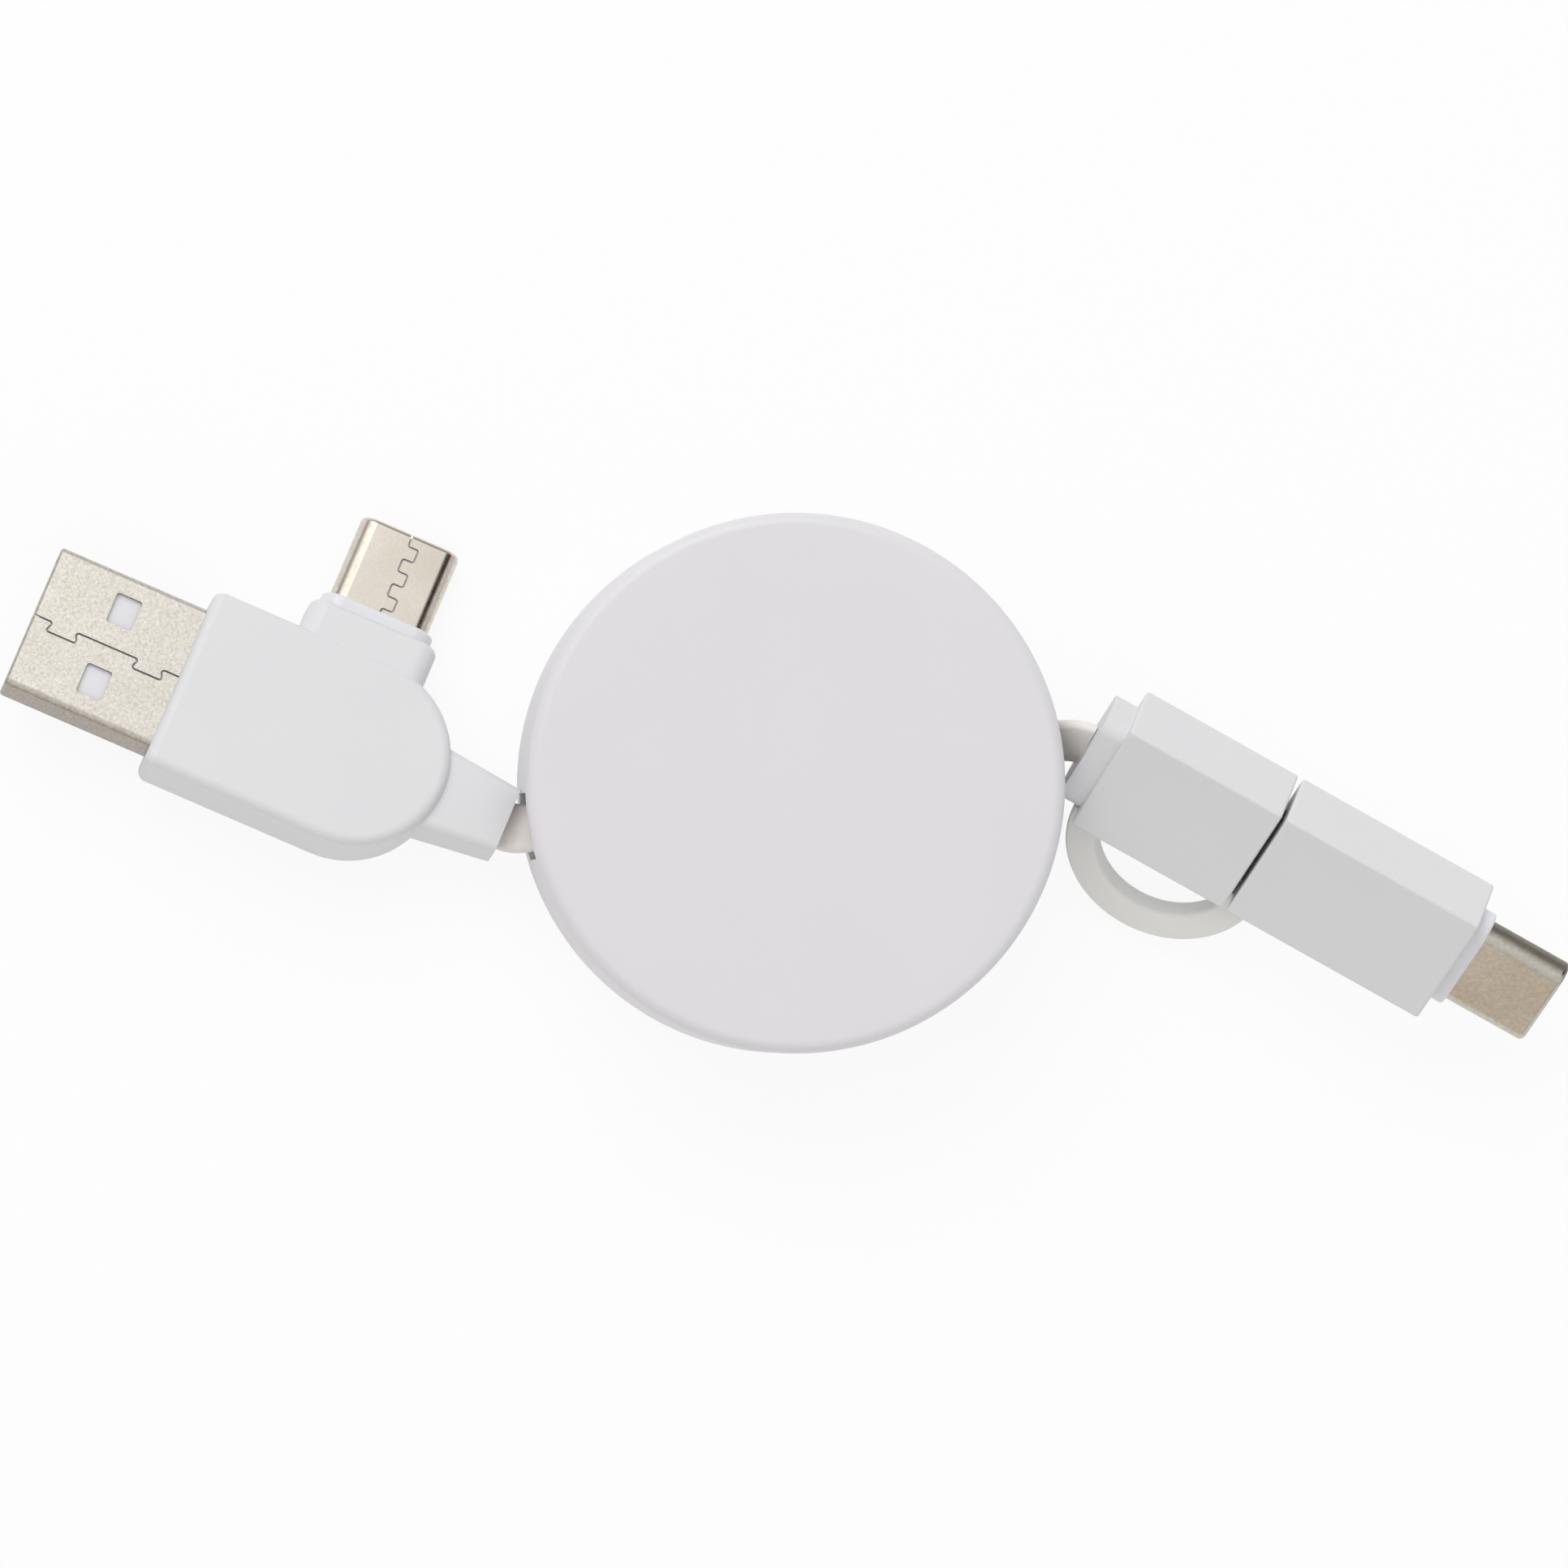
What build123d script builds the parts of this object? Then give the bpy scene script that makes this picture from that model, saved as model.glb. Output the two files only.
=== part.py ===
from build123d import *
import os
from math import cos, pi, radians, sin

# Retractable charging cable: a flat round reel, a two-headed plug on one lead and a plug with a
# tethered adapter on the other. Millimetres, +Z up. The origin is the centre of the reel's flat base,
# and the two leads leave the reel along X.

# Reel case: a deep tray closed by a shallow lid
case_radius = 21.2
case_wall = 1.3
case_edge_round = 1.0
lid_headroom = 2.6
seam_rise = 2.35
seam_gap = 0.12
lip_wall = 0.6
lip_height = 1.0
lip_clearance = 0.06
exit_side_gap = 0.65
exit_drop = 0.25
arbor_radius = 2.6
arbor_tip_radius = 1.6
arbor_tip_height = 1.1
tip_clearance = 0.05
bearing_radius = 4.2
bearing_height = 0.5

# Flat ribbon cable
ribbon_width = 4.0
ribbon_thickness = 1.0
winding_margin = 1.1

# Spool
arbor_clearance = 0.06
axial_clearance = 0.05
running_gap = 0.3
hub_radius = 9.6
hub_wall = 1.0
lower_flange = 2.6
upper_flange = 1.0
flange_clearance = 0.5
ribbon_side_gap = 0.3

# Ratchet track under the spool and the ball that runs in it
track_margin = 3.75
track_width = 4.0
track_depth = 0.9
ratchet_pockets = 6
ratchet_pocket_length = 3.0
ratchet_pocket_depth = 1.2
ball_radius = 0.9
ball_inset = 1.6
ball_slot_length = 4.0
ball_slot_depth = 0.85
ball_clearance = 0.05

# Spiral spring
spring_thickness = 0.25
spring_turns = 5
spring_gap = 0.3
arbor_slit = 0.5
hub_notch = 0.6

# Where the plugs lie: heading of each axis in plan, and roll about that axis
left_heading = 147.5
left_roll = 12.8
right_heading = -38.3
right_roll = 41.1
left_reach = 1.5
left_offset = 0.36
right_reach = 2.32
right_offset = -0.67

# Leads between the winding and the plugs
lead_start_gap = 1.0
lead_start_offset = 0.5
lead_start_heading = -25.0
lead_start_tilt = 48.0
lead_sections = 4

# Two-headed plug on the left lead
left_length = 22.6
left_round = 0.8
left_corner = 0.85
left_front_wall = 1.0
neck_length = 5.6
neck_end_width = 5.55
neck_end_thickness = 4.6
neck_root_width = 6.75
neck_root_thickness = 5.2
neck_corner = 0.8
neck_bury = 3.4
boss_side_wall = 0.675
boss_face_wall = 1.4
boss_corner = 1.5
boss_round = 0.7
boss_reach = 10.4
boss_setback = 12.6
left_side_wall = 1.05
left_face_wall = 0.75
left_block_length = 15.8
left_block_side = 0.55
left_block_face = 0.425

# Full-size plug shell
sheet = 0.3
usb_a_width = 12.0
usb_a_height = 4.5
usb_a_corner = 0.5
usb_a_length = 12.4
usb_a_root = 5.5
usb_a_mouth_chamfer = 0.18
window_length = 2.15
window_width = 2.55
window_corner = 0.25
window_from_tip = 6.45
window_offset = 3.1
seam_slit = 0.16
seam_corner = 0.2
dovetail_length = 2.3
dovetail_depth = 0.85
dovetail_flare = 0.18
dovetail_from_tip = 1.5
dovetail_pitch = 7.3
dovetails = 2
insulator_clearance = 0.05
usb_a_insulator_height = 1.9
usb_a_insulator_setback = 0.5
usb_a_contact_thickness = 0.2
usb_a_contact_width = 1.1
usb_a_contact_length = 8.0
usb_a_contact_inner = 1.0
usb_a_contact_outer = 3.5

# Small reversible plug shell, used on both plugs
usb_c_width = 8.34
usb_c_height = 2.56
usb_c_length = 7.0
usb_c_root = 4.5
usb_c_lip = 0.2
usb_c_lip_round = 0.4
castle_step = 1.1
castle_depth = 0.9
usb_c_mouth_width = 6.7
usb_c_mouth_height = 1.0
usb_c_mouth_corner = 0.3
usb_c_mouth_depth = 6.0
usb_c_contacts_per_side = 12
usb_c_contact_pitch = 0.5
usb_c_contact_width = 0.25
usb_c_contact_thickness = 0.12
usb_c_contact_length = 4.6
plinth_side = 0.555
plinth_face = 0.52
plinth_height = 1.2
plinth_edge_round = 0.25

# Boards inside the mouldings
board_thickness = 0.8
left_board_length = 9.6
left_board_width = 10.5
adapter_board_length = 3.6
adapter_board_width = 7.0
board_margin = 0.3

# Plug and adapter on the right lead
right_side_wall = 0.725
right_face_wall = 1.13
right_length = 13.7
right_round = 0.25
collar_length = 2.0
collar_side_step = 0.85
collar_face_step = 0.63
collar_corner = 1.3
collar_bury = 2.0
adapter_gap = 0.4
adapter_length = 17.4
socket_wall = 0.7

# Small plug that the adapter covers
micro_width = 6.85
micro_height = 1.85
micro_taper = 0.9
micro_length = 6.0
micro_root = 5.0
micro_floor = 0.45
micro_contacts = 5
micro_contact_pitch = 0.65
micro_contact_width = 0.35
micro_contact_thickness = 0.1
micro_contact_length = 4.0
socket_clearance = 0.1
tongue_width = 3.6
tongue_thickness = 0.4
tongue_length = 4.2
tongue_height = 0.28

# Tether strap
strap_width = 2.43
strap_thickness = 2.0
strap_round = 0.3
strap_centre_inset = 0.6
lug_length = 1.0
lug_clearance = 0.1
lug_thickness = 1.4
lug_inset = 0.35

# Reel sizes that follow
case_inner_radius = case_radius - case_wall
flange_radius = case_inner_radius - flange_clearance
winding_radius = flange_radius - winding_margin
hub_inner_radius = hub_radius - hub_wall
track_outer_radius = flange_radius - track_margin
track_inner_radius = track_outer_radius - track_width
ball_orbit = track_inner_radius + ball_inset
spool_base = case_wall + bearing_height + axial_clearance
lower_flange_top = spool_base + lower_flange
winding_height = ribbon_width + 2 * ribbon_side_gap
ribbon_mid = lower_flange_top + winding_height / 2
upper_flange_base = lower_flange_top + winding_height
upper_flange_top = upper_flange_base + upper_flange
lid_inside = upper_flange_top + lid_headroom
case_height = lid_inside + case_wall
seam_height = upper_flange_base + seam_rise
exit_sill = lower_flange_top - exit_drop
exit_width = ribbon_width + 2 * exit_side_gap
arbor_top = lid_inside - arbor_tip_height
hub_top = lid_inside - running_gap
spring_base = lower_flange_top + spring_gap
spring_height = arbor_top - running_gap - spring_base

# Plug sizes that follow: each moulding is built up round the shell that it holds
plinth_width = usb_c_width + 2 * plinth_side
plinth_thickness = usb_c_height + 2 * plinth_face
left_block_width = usb_a_width + 2 * left_block_side
left_block_thickness = usb_a_height + 2 * left_block_face
left_width = left_block_width + 2 * left_side_wall
left_thickness = left_block_thickness + 2 * left_face_wall
boss_width = plinth_width + 2 * boss_side_wall
boss_thickness = plinth_thickness + 2 * boss_face_wall
right_width = plinth_width + 2 * right_side_wall
right_thickness = plinth_thickness + 2 * right_face_wall
collar_width = right_width - 2 * collar_side_step
collar_thickness = right_thickness - 2 * collar_face_step

# Places along the left plug's axis, counted from the end of its neck
left_front = neck_length + left_length
left_round_centre = neck_length + left_width / 2
left_block_front = left_front - left_front_wall
left_block_rear = left_block_front - left_block_length
left_shell_rear = left_front - usb_a_root
left_board_front = left_shell_rear - board_margin
usb_a_tip = left_front + usb_a_length
boss_along = left_front - boss_setback
left_plinth_top = boss_reach + plinth_height

# Places along the right plug's axis, counted from the rear of its collar
right_front = collar_length + right_length
micro_rear = right_front - micro_root
adapter_rear = right_front + adapter_gap
adapter_front = adapter_rear + adapter_length
adapter_plinth_top = adapter_front + plinth_height
socket_depth = micro_length - adapter_gap + socket_clearance
socket_end = adapter_rear + socket_depth
adapter_block_rear = socket_end + socket_wall
adapter_board_rear = adapter_block_rear + board_margin
lug_starts = (collar_length + lug_inset, adapter_rear + lug_inset)
lug_depth = collar_side_step - lug_clearance
strap_along = (lug_starts[0] + lug_starts[1] + lug_length) / 2
strap_half_span = (lug_starts[1] - lug_starts[0]) / 2
strap_radius = (strap_half_span**2 + strap_centre_inset**2) ** 0.5
strap_outer_radius = strap_radius + strap_width / 2
strap_inner_radius = strap_radius - strap_width / 2
strap_centre_offset = right_width / 2 - strap_centre_inset


def resting_height(reach, thickness, roll):
    """Height of a plug's axis when the lower edge of what stands out sideways touches the table."""
    return reach * sin(radians(roll)) + thickness / 2 * cos(radians(roll))


left_axis_height = resting_height(left_plinth_top + usb_c_length, usb_c_height, left_roll)
right_axis_height = resting_height(strap_centre_offset + strap_outer_radius, strap_thickness, right_roll)


def plug_plane(x, y, z, heading, roll):
    """Plane of a plug lying on its side by the roll: local X runs outward along the plug's axis,
    local Y across its width and local Z through its thickness."""
    forward = Vector(cos(radians(heading)), sin(radians(heading)), 0)
    across = Vector(-sin(radians(heading)), cos(radians(heading)), 0)
    normal = Vector(0, 0, 1) * cos(radians(roll)) - across * sin(radians(roll))
    return Plane(origin=(x, y, z), x_dir=forward, z_dir=normal)


def face_plane(plug, height=0.0):
    """Plane parallel to the plug's wide face, at a height above its middle."""
    return Plane(plug.from_local_coords((0, 0, height)), x_dir=plug.x_dir, z_dir=plug.z_dir)


def section_plane(plug, along):
    """Plane square to the plug's axis, facing outward: local X across, local Y through the thickness."""
    return Plane(plug.from_local_coords((along, 0, 0)), x_dir=plug.y_dir, z_dir=plug.x_dir)


def side_plane(plug, along, out):
    """Plane on the plug's lower side, facing away from the axis: local Y through the thickness."""
    return Plane(plug.from_local_coords((along, -out, 0)), x_dir=plug.x_dir, z_dir=-plug.y_dir)


def flipped(plane):
    """The same plane with its local X and Y reversed."""
    return Plane(plane.origin, x_dir=-plane.x_dir, z_dir=plane.z_dir)


left = plug_plane(-(case_radius + left_reach), left_offset, left_axis_height, left_heading, left_roll)
right = plug_plane(case_radius + right_reach, right_offset, right_axis_height, right_heading, right_roll)

pieces = {}

# Tray of the reel, with the bearing ring and the arbor post turned in one profile
with BuildPart() as bottom_cover:
    with BuildSketch(Plane.XZ):
        with BuildLine():
            Polyline(
                (0, 0),
                (case_radius, 0),
                (case_radius, seam_height),
                (case_inner_radius + lip_wall, seam_height),
                (case_inner_radius + lip_wall, seam_height + lip_height),
                (case_inner_radius, seam_height + lip_height),
                (case_inner_radius, case_wall),
                (bearing_radius, case_wall),
                (bearing_radius, case_wall + bearing_height),
                (arbor_radius, case_wall + bearing_height),
                (arbor_radius, arbor_top),
                (arbor_tip_radius, arbor_top),
                (arbor_tip_radius, lid_inside - tip_clearance),
                (0, lid_inside - tip_clearance),
                close=True,
            )
        make_face()
    revolve(axis=Axis.Z)
    rim = bottom_cover.faces().sort_by(Axis.Z)[0].edges()
    fillet(rim, case_edge_round)
    with BuildSketch(Plane.XY.offset(exit_sill)):
        with PolarLocations(case_radius, 2):
            Rectangle(3 * case_wall, exit_width)
    extrude(amount=case_height, mode=Mode.SUBTRACT)
    with BuildSketch(Plane.XY.offset(spring_base)):
        Rectangle(3 * arbor_radius, arbor_slit)
    extrude(amount=case_height, mode=Mode.SUBTRACT)
    with BuildSketch(Plane.XY.offset(case_wall)):
        with Locations((0, ball_orbit)):
            SlotOverall(ball_slot_length, 2 * (ball_radius + ball_clearance), rotation=90)
    extrude(amount=-ball_slot_depth, mode=Mode.SUBTRACT)
pieces["bottom_cover"] = bottom_cover

# Lid of the reel, whose skirt closes over the tray's lip and whose boss takes the arbor's tip
with BuildPart() as top_cover:
    skirt_inner = case_inner_radius + lip_wall + lip_clearance
    lip_pocket = seam_height + lip_height + lip_clearance
    boss_base = arbor_top + tip_clearance
    with BuildSketch(Plane.XZ):
        with BuildLine():
            Polyline(
                (0, case_height),
                (case_radius, case_height),
                (case_radius, seam_height + seam_gap),
                (skirt_inner, seam_height + seam_gap),
                (skirt_inner, lip_pocket),
                (case_inner_radius, lip_pocket),
                (case_inner_radius, lid_inside),
                (arbor_radius, lid_inside),
                (arbor_radius, boss_base),
                (arbor_tip_radius + tip_clearance, boss_base),
                (arbor_tip_radius + tip_clearance, lid_inside),
                (0, lid_inside),
                close=True,
            )
        make_face()
    revolve(axis=Axis.Z)
    fillet(top_cover.faces().sort_by(Axis.Z)[-1].edges(), case_edge_round)
pieces["top_cover"] = top_cover

# Spool: drum with two flanges, a spring chamber and the ratchet track on its underside
with BuildPart() as spool:
    bore = arbor_radius + arbor_clearance
    with BuildSketch(Plane.XZ):
        with BuildLine():
            Polyline(
                (bore, spool_base),
                (flange_radius, spool_base),
                (flange_radius, lower_flange_top),
                (hub_radius, lower_flange_top),
                (hub_radius, upper_flange_base),
                (flange_radius, upper_flange_base),
                (flange_radius, upper_flange_top),
                (hub_radius, upper_flange_top),
                (hub_radius, hub_top),
                (hub_inner_radius, hub_top),
                (hub_inner_radius, lower_flange_top),
                (bore, lower_flange_top),
                close=True,
            )
        make_face()
    revolve(axis=Axis.Z)
    with BuildSketch(Plane.XY.offset(spool_base)):
        Circle(track_outer_radius)
        Circle(track_inner_radius, mode=Mode.SUBTRACT)
        with PolarLocations(track_outer_radius, ratchet_pockets):
            SlotOverall(ratchet_pocket_length, 2 * ratchet_pocket_depth, rotation=90)
        Circle(track_inner_radius, mode=Mode.SUBTRACT)
    extrude(amount=track_depth, mode=Mode.SUBTRACT)
    with BuildSketch(Plane.XY.offset(spring_base)):
        with Locations((hub_inner_radius, 0)):
            Rectangle(hub_wall, hub_notch)
    extrude(amount=case_height, mode=Mode.SUBTRACT)
pieces["spool"] = spool

# Wound ribbon, one solid ring on the drum
with BuildPart() as cable_winding:
    with BuildSketch(Plane.XY.offset(ribbon_mid)):
        Circle(winding_radius)
        Circle(hub_radius, mode=Mode.SUBTRACT)
    extrude(amount=ribbon_width / 2, both=True)
pieces["cable_winding"] = cable_winding

# Flat spiral spring: half circles about two centres, each wider than the last by the same step
with BuildPart() as spiral_spring:
    spring_inner = arbor_radius + spring_gap
    spring_outer = hub_inner_radius - spring_gap
    half_turns = 2 * spring_turns
    growth = (spring_outer - spring_inner) / half_turns
    with BuildSketch(Plane.XY.offset(spring_base)):
        with BuildLine():
            for side in (-spring_thickness / 2, spring_thickness / 2):
                for turn in range(half_turns):
                    CenterArc(
                        (growth * (turn % 2), 0),
                        spring_inner + growth * turn + side,
                        180 * (turn % 2),
                        180,
                    )
            for radius in (spring_inner, spring_outer):
                Line((radius - spring_thickness / 2, 0), (radius + spring_thickness / 2, 0))
        make_face()
        tang_end = spring_inner + spring_thickness / 2
        with Locations(((tang_end - arbor_tip_radius) / 2, -spring_thickness / 2)):
            Rectangle(tang_end + arbor_tip_radius, spring_thickness)
        hook_start = spring_outer - spring_thickness / 2
        hook_end = hub_inner_radius + hub_wall / 4
        with Locations(((hook_start + hook_end) / 2, spring_thickness / 2)):
            Rectangle(hook_end - hook_start, spring_thickness)
    extrude(amount=spring_height)
pieces["spiral_spring"] = spiral_spring

# Ball in its radial slot
with BuildPart() as detent_ball:
    with Locations((0, ball_orbit, case_wall - ball_slot_depth + ball_radius)):
        Sphere(ball_radius)
pieces["detent_ball"] = detent_ball


def build_lead(plug, turn, heading, roll):
    """Ribbon from the winding through the exit to the plug, untwisting towards the plug's roll."""
    start = Vector(winding_radius + lead_start_gap, lead_start_offset, ribbon_mid).rotate(Axis.Z, turn)
    with BuildPart() as lead:
        for step in range(lead_sections):
            share = step / (lead_sections - 1)
            centre = start + (plug.origin - start) * share
            centre.Z = start.Z + (plug.origin.Z - start.Z) * share**2
            direction = turn + lead_start_heading
            direction += (heading - direction) * share
            tilt = lead_start_tilt + (roll - lead_start_tilt) * share
            with BuildSketch(section_plane(plug_plane(*centre, direction, tilt), 0)):
                Rectangle(ribbon_width, ribbon_thickness)
        loft()
    return lead


pieces["left_lead"] = build_lead(left, 180, left_heading, left_roll)
pieces["right_lead"] = build_lead(right, 0, right_heading, right_roll)


def plinth_section():
    """Rounded outline of the hard inner moulding that a small plug stands on."""
    SlotOverall(plinth_width, plinth_thickness)


def build_usb_c(base):
    """Small reversible plug on a plane that faces out of its mouth: shell, insulator and contacts."""
    inner_width = usb_c_width - 2 * sheet
    inner_height = usb_c_height - 2 * sheet
    with BuildPart() as shell:
        with BuildSketch(base.offset(-usb_c_root)):
            SlotOverall(usb_c_width, usb_c_height)
        extrude(amount=usb_c_root + usb_c_length)
        mouth = shell.faces().sort_by(Axis(base.origin, base.z_dir))[-1]
        fillet(mouth.edges(), usb_c_lip_round)
        with BuildSketch(base.offset(-usb_c_root)):
            SlotOverall(inner_width, inner_height)
        extrude(amount=usb_c_root + usb_c_length - sheet, mode=Mode.SUBTRACT)
        with BuildSketch(base.offset(usb_c_length)):
            SlotOverall(inner_width - 2 * usb_c_lip, inner_height - 2 * usb_c_lip)
        extrude(amount=-sheet, mode=Mode.SUBTRACT)
        seam_start = base.from_local_coords((0, usb_c_height / 2, usb_c_length))
        seam_face = Plane(seam_start, x_dir=base.x_dir, z_dir=base.y_dir)
        seam_steps = int((usb_c_root + usb_c_length) / castle_step) + 2
        corners = []
        for step in range(seam_steps):
            shift = -castle_depth * (step % 2)
            corners.append((shift, castle_step * step))
            corners.append((shift, castle_step * (step + 1)))
        with BuildSketch(seam_face):
            with BuildLine():
                FilletPolyline(*corners, radius=seam_corner)
            trace(line_width=seam_slit)
        extrude(amount=-usb_c_height / 2, mode=Mode.SUBTRACT)
    with BuildPart() as insulator:
        with BuildSketch(base.offset(-usb_c_root)):
            SlotOverall(inner_width - 2 * insulator_clearance, inner_height - 2 * insulator_clearance)
        extrude(amount=usb_c_root + usb_c_length - sheet - insulator_clearance)
        with BuildSketch(base.offset(usb_c_length)):
            RectangleRounded(usb_c_mouth_width, usb_c_mouth_height, usb_c_mouth_corner)
        extrude(amount=-usb_c_mouth_depth, mode=Mode.SUBTRACT)
    with BuildPart() as contacts:
        row = usb_c_mouth_height / 2 - usb_c_contact_thickness / 2
        with BuildSketch(base.offset(usb_c_length - usb_c_mouth_depth)):
            with GridLocations(usb_c_contact_pitch, 2 * row, usb_c_contacts_per_side, 2):
                Rectangle(usb_c_contact_width, usb_c_contact_thickness)
        extrude(amount=usb_c_contact_length)
    return shell, insulator, contacts


# Two-headed plug: overmoulded body with a round rear end, a side boss and a tapered neck
left_c_base = side_plane(left, boss_along, left_plinth_top)

with BuildPart() as left_plug_body:
    with BuildSketch(face_plane(left)):
        with Locations((left_round_centre, 0)):
            Circle(left_width / 2)
        with Locations(((left_round_centre + left_front) / 2, 0)):
            front_half = Rectangle(left_front - left_round_centre, left_width)
        fillet(front_half.vertices().group_by(Axis.X)[-1], left_corner)
    extrude(amount=left_thickness / 2, both=True)
    wide_faces = left_plug_body.faces().sort_by(Axis(left.origin, left.z_dir))
    fillet(wide_faces[0].edges() + wide_faces[-1].edges(), left_round)
    with BuildSketch(side_plane(left, boss_along, 0)):
        RectangleRounded(boss_width, boss_thickness, boss_corner)
    extrude(amount=boss_reach)
    boss_end = left_plug_body.faces().sort_by(Axis(left.origin, -left.y_dir))[-1]
    fillet(boss_end.edges(), boss_round)
    neck_span = neck_length + neck_bury
    neck_growth = neck_span / neck_length
    neck_inner_width = neck_end_width + (neck_root_width - neck_end_width) * neck_growth
    neck_inner_thickness = neck_end_thickness + (neck_root_thickness - neck_end_thickness) * neck_growth
    with BuildSketch(section_plane(left, 0)):
        RectangleRounded(neck_end_width, neck_end_thickness, neck_corner)
    with BuildSketch(section_plane(left, neck_span)):
        RectangleRounded(neck_inner_width, neck_inner_thickness, neck_corner)
    loft()
    with BuildSketch(section_plane(left, left_block_rear)):
        Rectangle(left_block_width, left_block_thickness)
    extrude(amount=left_block_length, mode=Mode.SUBTRACT)
    with BuildSketch(side_plane(left, boss_along, 0)):
        plinth_section()
    extrude(amount=left_plinth_top, mode=Mode.SUBTRACT)
    with BuildSketch(section_plane(left, left_block_front)):
        RectangleRounded(usb_a_width, usb_a_height, usb_a_corner)
    extrude(amount=left_front_wall, mode=Mode.SUBTRACT)
pieces["left_plug_body"] = left_plug_body

# Hard inner moulding that holds both shells and the board
with BuildPart() as left_inner_mould:
    with BuildSketch(section_plane(left, left_block_rear)):
        Rectangle(left_block_width, left_block_thickness)
    extrude(amount=left_block_length)
    with BuildSketch(side_plane(left, boss_along, 0)):
        plinth_section()
    extrude(amount=left_plinth_top)
    plinth_end = left_inner_mould.faces().sort_by(Axis(left.origin, -left.y_dir))[-1]
    fillet(plinth_end.edges(), plinth_edge_round)
    with BuildSketch(section_plane(left, left_shell_rear)):
        RectangleRounded(usb_a_width, usb_a_height, usb_a_corner)
    extrude(amount=usb_a_root, mode=Mode.SUBTRACT)
    with BuildSketch(left_c_base):
        SlotOverall(usb_c_width, usb_c_height)
    extrude(amount=-usb_c_root, mode=Mode.SUBTRACT)
    with BuildSketch(section_plane(left, left_board_front)):
        Rectangle(left_board_width, board_thickness)
    extrude(amount=-left_board_length, mode=Mode.SUBTRACT)
pieces["left_inner_mould"] = left_inner_mould

with BuildPart() as left_board:
    with BuildSketch(section_plane(left, left_board_front)):
        Rectangle(left_board_width, board_thickness)
    extrude(amount=-left_board_length)
pieces["left_board"] = left_board

# Full-size shell: folded sheet with windows in both faces and a dovetailed seam along one
usb_a_inner_width = usb_a_width - 2 * sheet
usb_a_inner_height = usb_a_height - 2 * sheet

with BuildPart() as usb_a_shell:
    with BuildSketch(section_plane(left, left_shell_rear)):
        RectangleRounded(usb_a_width, usb_a_height, usb_a_corner)
        RectangleRounded(usb_a_inner_width, usb_a_inner_height, usb_a_corner - sheet, mode=Mode.SUBTRACT)
    extrude(amount=usb_a_root + usb_a_length)
    mouth_face = usb_a_shell.faces().sort_by(Axis(left.origin, left.x_dir))[-1]
    chamfer(mouth_face.outer_wire().edges(), usb_a_mouth_chamfer)
    with BuildSketch(face_plane(left)):
        with Locations((usb_a_tip - window_from_tip, 0)):
            with GridLocations(1, 2 * window_offset, 1, 2):
                RectangleRounded(window_length, window_width, window_corner)
    extrude(amount=usb_a_height, both=True, mode=Mode.SUBTRACT)
    seam_points = [(usb_a_tip + sheet, 0)]
    for place in range(dovetails):
        near = usb_a_tip - dovetail_from_tip - dovetail_pitch * place
        far = near - dovetail_length
        seam_points.append((near - dovetail_flare, 0))
        seam_points.append((near + dovetail_flare, dovetail_depth))
        seam_points.append((far - dovetail_flare, dovetail_depth))
        seam_points.append((far + dovetail_flare, 0))
    seam_points.append((left_shell_rear - sheet, 0))
    with BuildSketch(face_plane(left, usb_a_height / 2)):
        with BuildLine():
            FilletPolyline(*seam_points, radius=seam_corner)
        trace(line_width=seam_slit)
    extrude(amount=-usb_a_height / 2, mode=Mode.SUBTRACT)
pieces["usb_a_shell"] = usb_a_shell

# White block against the seamed face, on a full-height foot
insulator_width = usb_a_inner_width - 2 * insulator_clearance
insulator_top = usb_a_inner_height / 2 - insulator_clearance
with BuildPart() as usb_a_insulator:
    with BuildSketch(section_plane(left, left_shell_rear)):
        Rectangle(insulator_width, 2 * insulator_top)
    extrude(amount=usb_a_root)
    with BuildSketch(section_plane(left, left_front)):
        with Locations((0, insulator_top - usb_a_insulator_height / 2)):
            Rectangle(insulator_width, usb_a_insulator_height)
    extrude(amount=usb_a_length - usb_a_insulator_setback)
pieces["usb_a_insulator"] = usb_a_insulator

with BuildPart() as usb_a_contacts:
    contact_level = insulator_top - usb_a_insulator_height - usb_a_contact_thickness / 2
    with BuildSketch(section_plane(left, left_front)):
        with Locations((0, contact_level)):
            for spread in (usb_a_contact_inner, usb_a_contact_outer):
                with GridLocations(2 * spread, 1, 2, 1):
                    Rectangle(usb_a_contact_width, usb_a_contact_thickness)
    extrude(amount=usb_a_contact_length)
pieces["usb_a_contacts"] = usb_a_contacts

left_usb_c_shell, left_usb_c_insulator, left_usb_c_contacts = build_usb_c(left_c_base)
pieces["left_usb_c_shell"] = left_usb_c_shell
pieces["left_usb_c_insulator"] = left_usb_c_insulator
pieces["left_usb_c_contacts"] = left_usb_c_contacts


def lug_sketch(start):
    """Outline of one strap end inside the moulding that holds it, seen on the plug's wide face."""
    with Locations((start + lug_length / 2, -right_width / 2 + lug_depth / 2)):
        Rectangle(lug_length, lug_depth)


def micro_outline(grow):
    """Outline of the covered plug: a flat top and a narrower floor, grown all round by an amount."""
    half_width = micro_width / 2 + grow
    half_height = micro_height / 2 + grow
    Polygon(
        (-half_width, half_height),
        (half_width, half_height),
        (half_width, -half_height + micro_taper),
        (half_width - micro_taper, -half_height),
        (-half_width + micro_taper, -half_height),
        (-half_width, -half_height + micro_taper),
        align=None,
    )


# Collar of the right plug, which runs a little way into the body
with BuildPart() as right_strain_relief:
    with BuildSketch(section_plane(right, 0)):
        RectangleRounded(collar_width, collar_thickness, collar_corner)
    extrude(amount=collar_length + collar_bury)
pieces["right_strain_relief"] = right_strain_relief

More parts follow.
